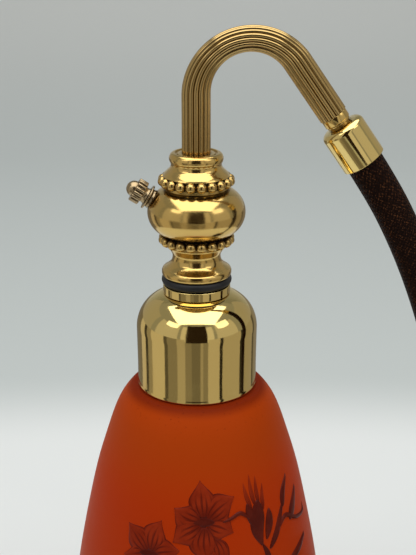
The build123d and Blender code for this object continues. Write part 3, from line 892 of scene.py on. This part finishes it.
# ---------------------------------------------------------------- collar, bush and seals
class ATOMISER_OT_collar(bpy.types.Operator):
    """Spin the brass collar and turn its bush"""
    bl_idname = "atomiser.collar"
    bl_label = "Collar"

    def execute(self, context):
        steps = context.scene.atomiser_sizes.steps + COLLAR_STEPS
        self.dome(steps)
        self.bush(steps)
        self.seals(steps)
        return {"FINISHED"}

    def dome(self, steps):
        radius, bottom, _ = span("neck_collar")
        wall, dome_r, start_z, hole = 0.8, 8.5, 126.2, 7.05
        centre = radius - dome_r
        end = math.degrees(math.acos((hole - centre) / dome_r))
        inner_end = math.degrees(math.acos((hole - centre) / (dome_r - wall)))
        outline = [
            (radius - wall, bottom, 0.2), (radius, bottom, 0.3), (radius, bottom + 0.75, 0.3),
            (radius - 0.1, bottom + 1.0, 0.2), (radius - 0.1, bottom + 6.0, 0),
            *arc(centre, start_z, dome_r, 0, end, 26),
            *arc(centre, start_z, dome_r - wall, inner_end, 0, 16),
        ]
        turned_piece(outline, steps, "collar_dome", "bottle", "neck_collar", "polished_brass")

    def bush(self, steps):
        radius, bottom, top = span("thread_bush")
        bore, shank, flange = 5.86, 7.0, 134.6
        outline = [
            (bore, bottom, 0), (shank, bottom, 0.1), (shank, flange, 0), (radius, flange, 0.12),
            (radius, top, 0.22), (radius - 0.9, top, 0.05), (radius - 1.0, top - 0.12, 0.05),
            (bore + 0.3, top - 0.12, 0.1), (bore, top - 0.4, 0.05),
        ]
        turned_piece(outline, steps, "bush_ring", "bottle", "thread_bush", "polished_brass")

    def seals(self, steps):
        radius, bottom, top = span("o_ring")
        thick = (top - bottom) / 2
        section = arc(radius - thick, (bottom + top) / 2, thick, 0, 345, 23)
        turned_piece(section, steps, "rubber_ring", "seal", "o_ring", "black_rubber", sharp=80)
        radius, bottom, top = span("lip_gasket")
        section = box_outline(6.35, radius, bottom, top, 0.2)
        turned_piece(section, steps, "gasket", "bottle", "lip_gasket", "black_rubber")


# ---------------------------------------------------------------- head
class ATOMISER_OT_head(bpy.types.Operator):
    """Turn the brass head: plug, foot, beaded rings, body and top collar"""
    bl_idname = "atomiser.head"
    bl_label = "Head"

    def execute(self, context):
        sizes = context.scene.atomiser_sizes
        self.steps = sizes.steps
        self.plug(sizes.thread_pitch)
        self.foot()
        self.body()
        for node in ("lower_beaded_ring", "upper_beaded_ring"):
            self.beads(node, sizes.beads, sizes.bead_radius)
        self.top_collar()
        return {"FINISHED"}

    def make(self, outline, name, node):
        turned_piece(outline, self.steps, name, "head", node, "cast_brass")

    def plug(self, pitch):
        """Threaded plug. Its thread's crest is the CAD plug's radius."""
        radius, bottom, top = span("screw_plug")
        root = radius - 0.55
        shoulder = span("head_foot")[1]
        outline = [
            (2.43, bottom, 0.1), (root - 0.2, bottom, 0.3), (root, bottom + 0.8, 0),
            (root, shoulder - 0.6, 0.1), (5.2, shoulder - 0.1, 0.1), (4.0, shoulder, 0),
            (4.0, top, 0), (2.43, top, 0),
        ]
        bm = turned(outline, self.steps)
        thread = bmesh.new()
        base = bottom + 0.35
        crest = [(root - 0.15, base), (radius - 0.02, base + 0.42), (radius - 0.02, base + 0.58),
                 (root - 0.15, base + 1.0)]
        verts = [thread.verts.new((r, 0, z)) for r, z in crest]
        edges = [thread.edges.new(pair) for pair in zip(verts, verts[1:])]
        turns = (shoulder - 0.9 - bottom - 1.0) / pitch
        in_turn = 64
        steps = int(in_turn * turns)
        bmesh.ops.spin(
            thread, geom=verts + edges, cent=(0, 0, 0), axis=UP, dvec=(0, 0, pitch / in_turn),
            angle=math.tau * steps / in_turn, steps=steps, use_merge=False, use_duplicate=False)
        bmesh.ops.holes_fill(thread, edges=thread.edges, sides=4)
        bmesh.ops.recalc_face_normals(thread, faces=thread.faces)
        add_bm(bm, thread)
        piece(bm, "threaded_plug", "head", ["screw_plug"], finish("cast_brass"))

    def foot(self):
        radius, bottom, top = span("head_foot")
        outline = [
            (4.03, bottom, 0), (radius - 0.12, bottom, 0.25), (radius, bottom + 0.5, 0.2),
            *flowing([(radius, bottom + 1.05), (radius - 0.25, bottom + 1.55), (7.0, bottom + 2.05),
                      (6.3, bottom + 2.6), (5.75, bottom + 3.3), (5.5, bottom + 4.2),
                      (5.55, bottom + 5.0), (5.8, bottom + 5.6), (6.3, top - 1.1)], 5),
            (6.6, top - 0.7, 0.2), (6.6, top, 0), (4.03, top, 0),
        ]
        self.make(outline, "foot", "head_foot")

    def body(self):
        radius, bottom, top = span("head_body")
        section, height = 5.5, 153.8
        centre = radius - section
        outline = [
            (4.65, bottom, 0), (6.75, bottom, 0), (6.75, bottom + 0.35, 0.1),
            *arc(centre, height, section, -72, 75, 34),
            (6.9, top - 1.0, 0.15), (7.15, top - 0.75, 0.1), (7.15, top, 0), (4.65, top, 0),
        ]
        self.make(outline, "air_body", "head_body")

    def beads(self, node, count, bead_radius):
        radius, bottom, top = span(node)
        middle = (bottom + top) / 2
        ring_r = radius - bead_radius
        half = 0.92
        outline = [
            (4.65, middle - half, 0), (ring_r - 0.35, middle - half, 0.2),
            (ring_r - 0.5, middle, 0.2), (ring_r - 0.35, middle + half, 0.2),
            (4.65, middle + half, 0),
        ]
        bm = turned(outline, self.steps)
        for index in range(count):
            turn = Matrix.Rotation(math.tau * (index + 0.5) / count, 4, "Z")
            place = turn @ Matrix.Translation((ring_r, 0, middle))
            bmesh.ops.create_uvsphere(
                bm, u_segments=20, v_segments=12, radius=bead_radius, matrix=place)
        piece(bm, node.replace("_beaded_ring", "_beads"), "head", [node],
              finish("beaded_brass"), sharp=60)

    def top_collar(self):
        _, bottom, top = span("top_collar")
        low = bottom + 2.0
        outline = [
            (3.23, bottom, 0), (4.55, bottom, 0), (4.55, low, 0), (7.2, low - 0.1, 0.05),
            *flowing([(7.5, low + 0.15), (7.2, low + 0.65), (6.6, low + 1.25), (5.95, low + 1.9),
                      (5.68, low + 2.6), (5.78, low + 3.1), (5.98, low + 3.5), (6.08, low + 4.0),
                      (6.03, low + 4.5), (5.8, top - 0.42), (5.4, top - 0.12),
                      (4.95, top - 0.04)], 5),
            (4.75, top - 0.1, 0.1), (4.7, top - 0.4, 0.1), (4.3, top - 0.42, 0.05),
            (4.25, 166.62, 0.1), (3.23, 166.62, 0),
        ]
        self.make(outline, "shoulder_collar", "top_collar")
        _, bottom, top = span("neck_washer")
        self.make(box_outline(3.22, 4.3, bottom, top, 0.15), "tube_washer", "neck_washer")


# ---------------------------------------------------------------- swan neck
class ATOMISER_OT_swan_neck(bpy.types.Operator):
    """Draw the reeded tube, bend it over and close its end"""
    bl_idname = "atomiser.swan_neck"
    bl_label = "Swan Neck"

    def execute(self, context):
        sizes = context.scene.atomiser_sizes
        radius, bottom, top = span("swan_neck")
        bend_z = top - radius - BEND_R
        bm = bmesh.new()
        ring = self.reeded_ring(bm, radius, sizes.reeds, sizes.reed_depth, bottom)
        ring = self.extend(bm, ring, Vector((0, 0, bend_z - bottom)), 6)
        bent = bmesh.ops.spin(
            bm, geom=ring + self.rim(ring), cent=(BEND_R, 0, bend_z), axis=(0, 1, 0),
            dvec=(0, 0, 0), angle=math.radians(BEND_TURN), steps=60, use_merge=False,
            use_duplicate=False)
        ring = [item for item in bent["geom_last"] if isinstance(item, bmesh.types.BMVert)]
        self.extend(bm, ring, LEG_DIRECTION * LEG_LENGTH, 5)
        self.flatten_bend(bm, bend_z)
        bmesh.ops.holes_fill(bm, edges=bm.edges, sides=0)
        bmesh.ops.recalc_face_normals(bm, faces=bm.faces)
        piece(bm, "reeded_tube", "head", ["swan_neck"], finish("reeded_brass"),
              sharp=70, weighted=False)
        self.end_ring(sizes.steps)
        return {"FINISHED"}

    def reeded_ring(self, bm, radius, reeds, depth, height):
        """Closed ring of raised, rounded reeds."""
        points = reeds * 8
        circle = bmesh.ops.create_circle(
            bm, cap_ends=False, radius=radius, segments=points,
            matrix=Matrix.Translation((0, 0, height)))
        for vert in circle["verts"]:
            angle = math.atan2(vert.co.y, vert.co.x)
            crest = abs(math.cos(angle * reeds / 2)) ** 0.6
            share = (radius - depth * (1 - crest)) / radius
            vert.co.x *= share
            vert.co.y *= share
        return circle["verts"]

    def rim(self, verts):
        chosen = set(verts)
        return list(dict.fromkeys(edge for vert in verts for edge in vert.link_edges
                                  if edge.other_vert(vert) in chosen))

    def extend(self, bm, ring, move, times):
        for _ in range(times):
            made = bmesh.ops.extrude_edge_only(bm, edges=self.rim(ring))["geom"]
            ring = [item for item in made if isinstance(item, bmesh.types.BMVert)]
            bmesh.ops.translate(bm, vec=move / times, verts=ring)
        return ring

    def flatten_bend(self, bm, bend_z):
        """A bent tube is a little flatter across its bend."""
        for vert in bm.verts:
            across, up = vert.co.x - BEND_R, vert.co.z - bend_z
            angle = math.degrees(math.atan2(up, -across))
            if 0 < angle < BEND_TURN and up > -3:
                reach = math.hypot(across, up)
                loss = 0.15 if reach > BEND_R else 0.06
                share = 1 - loss * math.sin(math.pi * angle / BEND_TURN)
                wanted = BEND_R + (reach - BEND_R) * share
                vert.co.x = BEND_R + across * wanted / reach
                vert.co.z = bend_z + up * wanted / reach

    def end_ring(self, steps):
        ring = [(1.85, -2.9, 0), (2.1, -2.9, 0), (2.1, 0.02, 0), (3.0, 0.02, 0.12),
                (3.02, 1.8, 0.18), (1.85, 1.8, 0)]
        nipple = [(1.1, -2.5, 0), (1.8, -2.5, 0), (1.8, 1.8, 0), (2.75, 1.82, 0.1),
                  (2.75, 2.25, 0.1), (2.45, 2.35, 0.05), (2.45, 2.7, 0), (1.8, 2.7, 0),
                  (1.8, 11.0, 0), (1.1, 11.0, 0)]
        cup = [(1.85, 2.7, 0), (2.9, 2.7, 0.1), (3.2, 2.82, 0), (5.05, 2.95, 1.3),
               (5.05, 12.55, 0.15), (4.27, 12.55, 0.12), (4.27, 5.85, 0), (1.85, 5.85, 0)]
        for outline, name, node, slot in (
                (ring, "end_ring", "neck_end_ring", "cast_brass"),
                (nipple, "air_nipple", "hose_nipple", "cast_brass"),
                (cup, "ferrule_cup", "hose_ferrule", "polished_brass")):
            turned_piece(outline, steps, name, "head", node, slot, LEG_PLACE)


# ---------------------------------------------------------------- nozzle
class ATOMISER_OT_nozzle(bpy.types.Operator):
    """Make the nozzle: boss, thin washer, reeded cap and domed tip"""
    bl_idname = "atomiser.nozzle"
    bl_label = "Nozzle"

    def execute(self, context):
        sizes = context.scene.atomiser_sizes
        steps = sizes.steps // 2
        boss = [(0.8, 3.6, 0), (1.43, 3.6, 0), (1.43, 5.2, 0), (2.3, 5.2, 0.1), (2.05, 5.98, 0.1),
                (1.43, 5.98, 0), (1.43, 9.0, 0.1), (0.8, 9.0, 0)]
        washer = box_outline(1.5, 2.88, 6.02, 6.42, 0.14)
        tip = [(0.6, 9.3, 0), (1.45, 9.3, 0), (1.45, 9.76, 0), (1.86, 9.76, 0),
               *arc(0, 9.76, 1.84, 4, 76, 12), (0.4, 11.5, 0.08), (0.3, 11.42, 0), (0.3, 10.8, 0),
               (0.6, 10.7, 0)]
        for bm, name, body, node, sharp in (
                (turned(boss, steps), "nozzle_stub", "head", "nozzle_boss", SHARP),
                (turned(washer, steps), "thin_washer", "nozzle_ring", "nozzle_washer", SHARP),
                (self.cap(sizes.knurls), "reeded_cap", "nozzle_cap", "nozzle_cap", 45),
                (turned(tip, steps), "dome_tip", "nozzle_cap", "nozzle_tip", SHARP)):
            piece(bm, name, body, [node], finish("bronze"), NOZZLE_PLACE, sharp)
        return {"FINISHED"}

    def cap(self, ribs):
        """Waisted skirt, then a grip of bold round ribs."""
        skirt = [(1.5, 6.47, 0), (1.95, 6.47, 0.12), (1.75, 7.0, 0.2), (1.85, 7.55, 0),
                 (2.35, 7.62, 0.05), (2.35, 9.68, 0.05), (1.5, 9.75, 0)]
        bm = turned(skirt, 64)
        for index in range(ribs):
            turn = Matrix.Rotation(math.tau * index / ribs, 4, "Z")
            rib = bmesh.ops.create_cone(
                bm, cap_ends=True, segments=12, radius1=0.42, radius2=0.42, depth=2.15,
                matrix=turn @ Matrix.Translation((2.36, 0, 8.64)))
            own = set(rib["verts"])
            ends = [face for face in bm.faces if len(face.verts) == 12 and own.issuperset(face.verts)]
            rims = list(dict.fromkeys(edge for face in ends for edge in face.edges))
            bmesh.ops.bevel(
                bm, geom=rims, offset=0.12, offset_type="OFFSET", segments=2, profile=0.5,
                affect="EDGES", material=-1)
        return bm


# ---------------------------------------------------------------- inner pieces
class ATOMISER_OT_inner(bpy.types.Operator):
    """Make the dip tube and finish the pieces inside"""
    bl_idname = "atomiser.inner"
    bl_label = "Inner Pieces"

    def execute(self, context):
        radius, bottom, top = span("dip_tube")
        bore = 0.9
        tube = [(bore, bottom, 0.1), (radius, bottom + 0.05, 0.15), (radius, top, 0.1),
                (bore, top, 0)]
        turned_piece(tube, 40, "glass_dip_tube", "dip_stage", "dip_tube", "clear_glass")
        for node, name in (
                ("collar_cement", "cement"), ("tube_sleeve", "black_rubber"),
                ("liquid_tube", "cast_brass"), ("bulb_nipple", "cast_brass"),
                ("valve_seat", "cast_brass"), ("valve_guard", "cast_brass"),
                ("valve_disc", "bulb_rubber")):
            paint_node(node, finish(name))
        return {"FINISHED"}


# ---------------------------------------------------------------- stage
# Cards round the bottle, each from one angle to another off the front, and its strength
WALLS = [(-150, -96, 0.38), (-84, -36, 0.54), (-30, 33, 0.66), (39, 84, 0.54), (96, 146, 0.38)]
TABLE = [
    (-170, -128, 0.18), (-128, -112, 0.55), (-112, -104, 0.05), (-104, -92, 0.30),
    (-92, -62, 0.56), (-62, -55, 0.10), (-55, -36, 0.24), (-36, -21, 0.42), (21, 43, 0.50),
    (43, 49, 0.02), (49, 88, 0.42), (88, 95, 0.03), (95, 128, 0.34), (128, 136, 0.10),
    (136, 170, 0.24),
]
TABLE_FRONT = [(-21, -9, 0.24), (-9, 7, 0.17), (7, 12, 0.36), (12, 21, 0.24)]
WALL_R, TABLE_R, DOORWAY_R = 0.62, 0.20, 0.36

# Lamps: place, what they point at, size and power
LAMPS = {
    "top_light": ((0.0, -0.05, 0.75), (0, 0.05, 0.1), 0.85, 5.2),
    "left_light": ((-0.50, -0.35, 0.50), (0, 0, 0.1), 0.30, 0.45),
    "right_light": ((0.50, -0.30, 0.50), (0, 0, 0.1), 0.30, 0.40),
}


class ATOMISER_OT_stage(bpy.types.Operator):
    """Lay the pale floor and hang the soft lights"""
    bl_idname = "atomiser.stage"
    bl_label = "Stage"

    def execute(self, context):
        self.sweep(context)
        self.tent(context)
        self.light(context)
        return {"FINISHED"}

    def sweep(self, context):
        """Floor that curves up into a backdrop."""
        bm = bmesh.new()
        half = 1.6
        outline = [(-half, 0), (0.55, 0), (0.95, 0.12), (1.15, 0.5), (1.2, 1.6)]
        verts = [bm.verts.new((-half, y, z)) for y, z in outline]
        edges = [bm.edges.new(pair) for pair in zip(verts, verts[1:])]
        made = bmesh.ops.extrude_edge_only(bm, edges=edges)["geom"]
        far = [item for item in made if isinstance(item, bmesh.types.BMVert)]
        bmesh.ops.translate(bm, vec=(2 * half, 0, 0), verts=far)
        bmesh.ops.recalc_face_normals(bm, faces=bm.faces)
        floor = self.add(context, bm, "sweep", self.floor_material())
        floor.data.shade_smooth()
        rounding = floor.modifiers.new("round", "SUBSURF")
        rounding.levels = rounding.render_levels = 2

    def floor_material(self):
        """Pale paper, painted palest round the bottle as a pool of light, and painted deeper, as
        shade, where it curves up.
        """
        paint = Paint("paper", {"Roughness": 0.9, "Specular IOR Level": 0.1})
        x, y, _ = paint.axes(paint.place())
        away = (x * x * 0.25 + y * y) ** 0.5
        # painted light: a pale pool round the bottle, with painted shade further off
        painted_pool = paint.mix(away.step(0.15, 0.215), tone(0.77, 0.79, 0.775), tone(0.55, 0.585, 0.57))
        return paint.link(base_color=paint.mix(away.step(0.5, 0.95), painted_pool, tone(0.77, 0.78, 0.75)))

    def tent(self, context):
        """Pale walls, and nearer the darker things round a table. Seen only in reflections."""
        for index, (start, end, strength) in enumerate(WALLS):
            cloth = self.glow(f"tent_cloth_{index}", tone(1.0, 0.97, 0.90), strength)
            self.card(context, f"tent_wall_{index}", cloth, WALL_R, start, end, 0.0, 0.62)
        for strips, high in ((TABLE, 0.130), (TABLE_FRONT, 0.100)):
            for start, end, strength in strips:
                strip = self.glow(f"table_strip_{start}", tone(1.0, 0.93, 0.80), strength)
                self.card(context, f"table_card_{start}", strip, TABLE_R, start, end, 0.003, high)
        dark = self.glow("doorway", tone(0.10, 0.06, 0.035), 0.20)
        self.card(context, "doorway", dark, DOORWAY_R, -20, 20, 0.07, 0.46)

    def card(self, context, name, material, distance, start, end, low, high):
        """Upright curved card round the bottle, from one angle to another off the front."""
        bm = bmesh.new()
        a = math.radians(start - 90)
        verts = [bm.verts.new((distance * math.cos(a), distance * math.sin(a), z))
                 for z in (low, high)]
        edge = bm.edges.new(verts)
        bmesh.ops.spin(
            bm, geom=verts + [edge], cent=(0, 0, 0), axis=UP, dvec=(0, 0, 0),
            angle=math.radians(end - start), steps=10, use_merge=False, use_duplicate=False)
        wall = self.add(context, bm, name, material)
        wall.visible_camera = wall.visible_shadow = wall.visible_diffuse = False

    def glow(self, name, colour, strength):
        material = bpy.data.materials.new(name)
        material.use_nodes = True
        tree = material.node_tree
        tree.nodes.clear()
        emission = tree.nodes.new("ShaderNodeEmission")
        emission.inputs["Color"].default_value = colour
        emission.inputs["Strength"].default_value = strength
        output = tree.nodes.new("ShaderNodeOutputMaterial")
        tree.links.new(emission.outputs[0], output.inputs["Surface"])
        return material

    def light(self, context):
        context.scene.view_settings.view_transform = "Standard"
        world = bpy.data.worlds.new("world")
        context.scene.world = world
        world.use_nodes = True
        sky = world.node_tree.nodes["Background"]
        sky.inputs["Color"].default_value = tone(0.78, 0.8, 0.8)
        sky.inputs["Strength"].default_value = 0.38
        for name, (place, aim, size, power) in LAMPS.items():
            data = bpy.data.lights.new(name, "AREA")
            data.shape = "SQUARE"
            data.size = size
            data.energy = power
            lamp = bpy.data.objects.new(name, data)
            context.scene.collection.objects.link(lamp)
            lamp.location = place
            lamp.rotation_euler = (Vector(aim) - Vector(place)).to_track_quat("-Z", "Y").to_euler()

    def add(self, context, bm, name, material):
        mesh = bpy.data.meshes.new(name)
        bm.to_mesh(mesh)
        bm.free()
        mesh.materials.append(material)
        obj = bpy.data.objects.new(name, mesh)
        context.scene.collection.objects.link(obj)
        return obj


# ---------------------------------------------------------------- add-on
OPERATORS = [
    ATOMISER_OT_camera, ATOMISER_OT_bulb, ATOMISER_OT_hose, ATOMISER_OT_bottle,
    ATOMISER_OT_cameo, ATOMISER_OT_collar, ATOMISER_OT_head, ATOMISER_OT_swan_neck,
    ATOMISER_OT_nozzle, ATOMISER_OT_inner, ATOMISER_OT_stage,
]


class ATOMISER_PT_panel(bpy.types.Panel):
    """The atomiser's pieces"""
    bl_idname = "ATOMISER_PT_panel"
    bl_label = "Perfume Atomiser"
    bl_space_type = "VIEW_3D"
    bl_region_type = "UI"
    bl_category = "Atomiser"

    def draw(self, context):
        for group in (context.scene.atomiser_sizes, context.scene.atomiser_colours):
            for key in group.__annotations__:
                self.layout.prop(group, key)
        for operator in OPERATORS:
            self.layout.operator(operator.bl_idname)


CLASSES = [AtomiserSizes, AtomiserColours, *OPERATORS, ATOMISER_PT_panel]


def register():
    for item in CLASSES:
        bpy.utils.register_class(item)
    bpy.types.Scene.atomiser_sizes = PointerProperty(type=AtomiserSizes)
    bpy.types.Scene.atomiser_colours = PointerProperty(type=AtomiserColours)


def unregister():
    del bpy.types.Scene.atomiser_colours
    del bpy.types.Scene.atomiser_sizes
    for item in reversed(CLASSES):
        bpy.utils.unregister_class(item)


def main():
    register()
    for operator in OPERATORS:
        group, name = operator.bl_idname.split(".")
        getattr(getattr(bpy.ops, group), name)()


if __name__ == "__main__":
    main()
